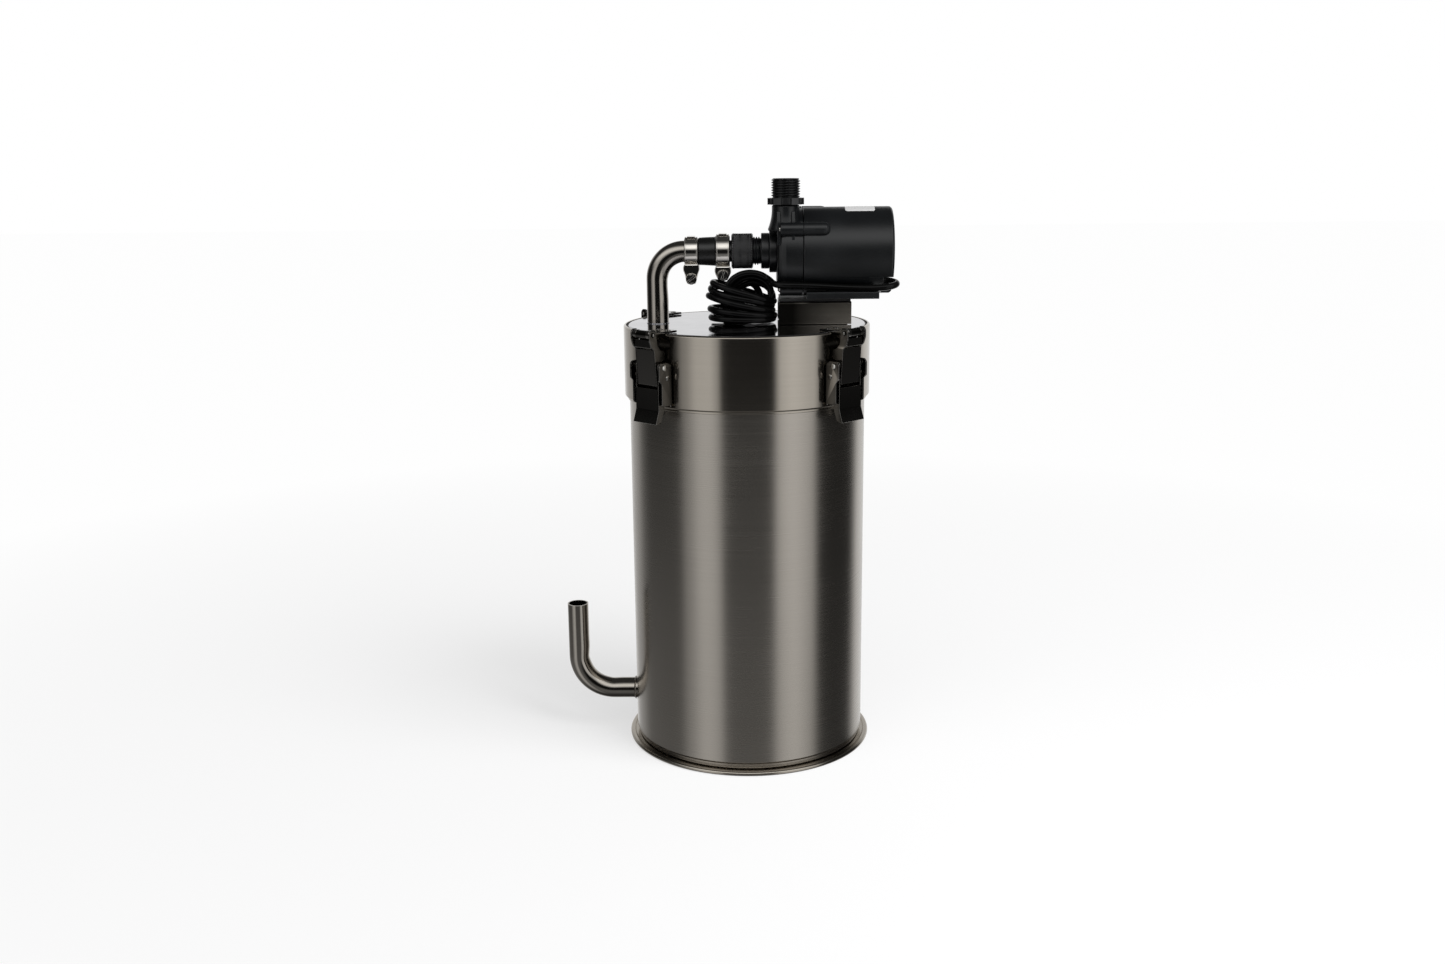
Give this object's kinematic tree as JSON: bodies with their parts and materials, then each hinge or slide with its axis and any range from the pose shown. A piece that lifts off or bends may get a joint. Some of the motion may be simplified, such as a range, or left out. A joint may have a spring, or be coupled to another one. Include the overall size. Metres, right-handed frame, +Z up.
{
  "type": "canister filter",
  "caption": "Upright stainless canister filter: latched lid with a pump on a bracket, clamped hose, coiled cable, elbow inlet and outlet pipes, media inside.",
  "frame": {"origin": "centre of the base's underside, on the tank's axis", "axes": "+Z up along the tank's axis, +X along the pump towards its rear end, -Y the front"},
  "size_m": [0.2523, 0.187, 0.4268],
  "materials": {
    "brushed_stainless": "dark brushed stainless",
    "polished_lid": "polished",
    "latch_nickel": "dark polished steel",
    "bright_clamp": "bright stainless",
    "black_plastic": "satin black",
    "grey_plastic": "moulded grey",
    "black_rubber": "matt",
    "cable_black": "glossy PVC",
    "sponge": "open-cell foam",
    "fleece": "filter fleece",
    "ceramic_media": "porous ceramic rings"
  },
  "bodies": {
    "tank": {"tank_shell": "brushed_stainless", "base_plate": "brushed_stainless", "collar": "brushed_stainless", "inlet_pipe": "brushed_stainless", "lid_seal": "black_rubber", "support_grid": "grey_plastic", "media_basket": "grey_plastic", "basket_floor": "grey_plastic", "basket_handle": "black_plastic", "coarse_sponge": "sponge", "bio_media": "ceramic_media", "fine_sponge": "fleece", "latch_base_front_left": "latch_nickel", "latch_pivot_pin_front_left": "latch_nickel", "latch_base_front_right": "latch_nickel", "latch_pivot_pin_front_right": "latch_nickel", "latch_base_back_right": "latch_nickel", "latch_pivot_pin_back_right": "latch_nickel", "latch_base_back_left": "latch_nickel", "latch_pivot_pin_back_left": "latch_nickel"},
    "lid": {"lid_plate": "polished_lid", "outlet_pipe": "brushed_stainless", "pump_bracket": "brushed_stainless", "rubber_pad": "black_rubber", "pump_foot": "black_plastic", "pump_housing": "black_plastic", "pump_front_cover": "black_plastic", "outlet_fitting": "black_plastic", "hose_tail": "black_plastic", "hose_sleeve": "black_rubber", "clamp_band_left": "bright_clamp", "clamp_band_right": "bright_clamp", "cable_gland": "black_rubber", "cable_run": "cable_black", "cable_coil": "cable_black", "dc_connector": "cable_black", "latch_strike_front_left": "latch_nickel", "latch_strike_front_right": "latch_nickel", "latch_strike_back_right": "latch_nickel", "latch_strike_back_left": "latch_nickel"},
    "impeller": {"impeller_rotor": "grey_plastic"},
    "union_nut": {"union_nut": "black_plastic"},
    "clamp_screw_left": {"clamp_screw_left": "bright_clamp"},
    "clamp_screw_right": {"clamp_screw_right": "bright_clamp"},
    "lever_front_left": {"latch_lever_front_left": "latch_nickel", "latch_link_pin_front_left": "latch_nickel"},
    "arm_front_left": {"latch_arm_front_left": "latch_nickel", "latch_roller_front_left": "latch_nickel"},
    "lever_front_right": {"latch_lever_front_right": "latch_nickel", "latch_link_pin_front_right": "latch_nickel"},
    "arm_front_right": {"latch_arm_front_right": "latch_nickel", "latch_roller_front_right": "latch_nickel"},
    "lever_back_right": {"latch_lever_back_right": "latch_nickel", "latch_link_pin_back_right": "latch_nickel"},
    "arm_back_right": {"latch_arm_back_right": "latch_nickel", "latch_roller_back_right": "latch_nickel"},
    "lever_back_left": {"latch_lever_back_left": "latch_nickel", "latch_link_pin_back_left": "latch_nickel"},
    "arm_back_left": {"latch_arm_back_left": "latch_nickel", "latch_roller_back_left": "latch_nickel"}
  },
  "joints": [
    {"name": "lid_lift", "type": "slide", "parent": "tank", "child": "lid", "axis": [0, 0, 1], "range_m": [0, 0.12]},
    {"name": "impeller_spin", "type": "hinge", "parent": "lid", "child": "impeller", "pos_m": [0.05, 0, 0.3745], "axis": [1, 0, 0], "continuous": true},
    {"name": "union_nut_turn", "type": "hinge", "parent": "lid", "child": "union_nut", "pos_m": [-0.003, 0, 0.3745], "axis": [1, 0, 0], "continuous": true},
    {"name": "clamp_screw_left_turn", "type": "hinge", "parent": "lid", "child": "clamp_screw_left", "pos_m": [-0.0404, 0, 0.355], "axis": [0, 1, 0], "continuous": true},
    {"name": "clamp_screw_right_turn", "type": "hinge", "parent": "lid", "child": "clamp_screw_right", "pos_m": [-0.0172, 0, 0.3573], "axis": [0, 1, 0], "continuous": true},
    {"name": "latch_front_left_lever", "type": "hinge", "parent": "tank", "child": "lever_front_left", "pos_m": [-0.06808, -0.0705, 0.2994], "axis": [-0.7193, 0.6947, 0], "range_deg": [0, 90]},
    {"name": "latch_front_left_arm", "type": "hinge", "parent": "lever_front_left", "child": "arm_front_left", "pos_m": [-0.0662, -0.06855, 0.2923], "axis": [-0.7193, 0.6947, 0], "range_deg": [-90, 0]},
    {"name": "latch_front_right_lever", "type": "hinge", "parent": "tank", "child": "lever_front_right", "pos_m": [0.0705, -0.06808, 0.2994], "axis": [-0.6947, -0.7193, 0], "range_deg": [0, 90]},
    {"name": "latch_front_right_arm", "type": "hinge", "parent": "lever_front_right", "child": "arm_front_right", "pos_m": [0.06855, -0.0662, 0.2923], "axis": [-0.6947, -0.7193, 0], "range_deg": [-90, 0]},
    {"name": "latch_back_right_lever", "type": "hinge", "parent": "tank", "child": "lever_back_right", "pos_m": [0.06808, 0.0705, 0.2994], "axis": [0.7193, -0.6947, 0], "range_deg": [0, 90]},
    {"name": "latch_back_right_arm", "type": "hinge", "parent": "lever_back_right", "child": "arm_back_right", "pos_m": [0.0662, 0.06855, 0.2923], "axis": [0.7193, -0.6947, 0], "range_deg": [-90, 0]},
    {"name": "latch_back_left_lever", "type": "hinge", "parent": "tank", "child": "lever_back_left", "pos_m": [-0.0705, 0.06808, 0.2994], "axis": [0.6947, 0.7193, 0], "range_deg": [0, 90]},
    {"name": "latch_back_left_arm", "type": "hinge", "parent": "lever_back_left", "child": "arm_back_left", "pos_m": [-0.06855, 0.0662, 0.2923], "axis": [0.6947, 0.7193, 0], "range_deg": [-90, 0]}
  ],
  "couplings": [
    {"joint": "latch_front_left_arm", "follows": "latch_front_left_lever", "ratio": -1},
    {"joint": "latch_front_right_arm", "follows": "latch_front_right_lever", "ratio": -1},
    {"joint": "latch_back_right_arm", "follows": "latch_back_right_lever", "ratio": -1},
    {"joint": "latch_back_left_arm", "follows": "latch_back_left_lever", "ratio": -1}
  ]
}
